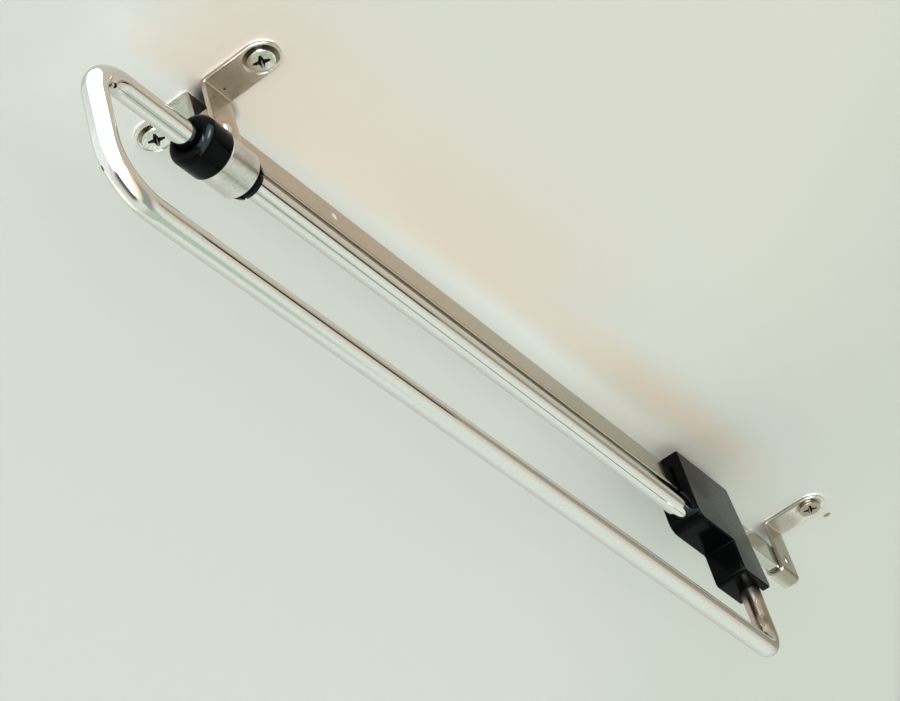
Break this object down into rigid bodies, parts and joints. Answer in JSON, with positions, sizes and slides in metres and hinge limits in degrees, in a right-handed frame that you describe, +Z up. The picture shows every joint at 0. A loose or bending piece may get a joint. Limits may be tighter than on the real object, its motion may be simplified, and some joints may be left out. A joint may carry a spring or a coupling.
{
  "type": "pull-out clothes rail",
  "caption": "Clothes rail that pulls out from under a wardrobe shelf: a bent rod loop runs through a collar at the front and hangs from a block that slides on a flat bar.",
  "frame": {"origin": "centre of the four screw places, on the plane of the shelf's underside that the brackets meet", "axes": "X across the rail, +Y from the front of the wardrobe to its back, so the rail pulls out along -Y, +Z up towards the shelf"},
  "size_m": [0.05, 0.3845, 0.0894],
  "materials": {
    "track_bar": "nickel-plated, polished",
    "front_bracket": "nickel-plated, polished",
    "rear_bracket": "nickel-plated, polished",
    "bracket_rivets": "nickel-plated",
    "front_bush": "moulded, glossy black",
    "fixing_screws": "nickel-plated, bright",
    "rod_loop": "nickel-plated, mirror bright",
    "slider": "moulded, glossy black with semi-matt sides"
  },
  "bodies": {
    "track": {"track_bar": "track_bar", "front_bracket": "front_bracket", "rear_bracket": "rear_bracket", "bracket_rivets": "bracket_rivets", "front_bush": "front_bush", "fixing_screws": "fixing_screws"},
    "rail": {"rod_loop": "rod_loop", "slider": "slider"}
  },
  "joints": [
    {"name": "pull_out", "type": "slide", "parent": "track", "child": "rail", "axis": [0, -1, 0], "range_m": [0, 0.2321]}
  ]
}
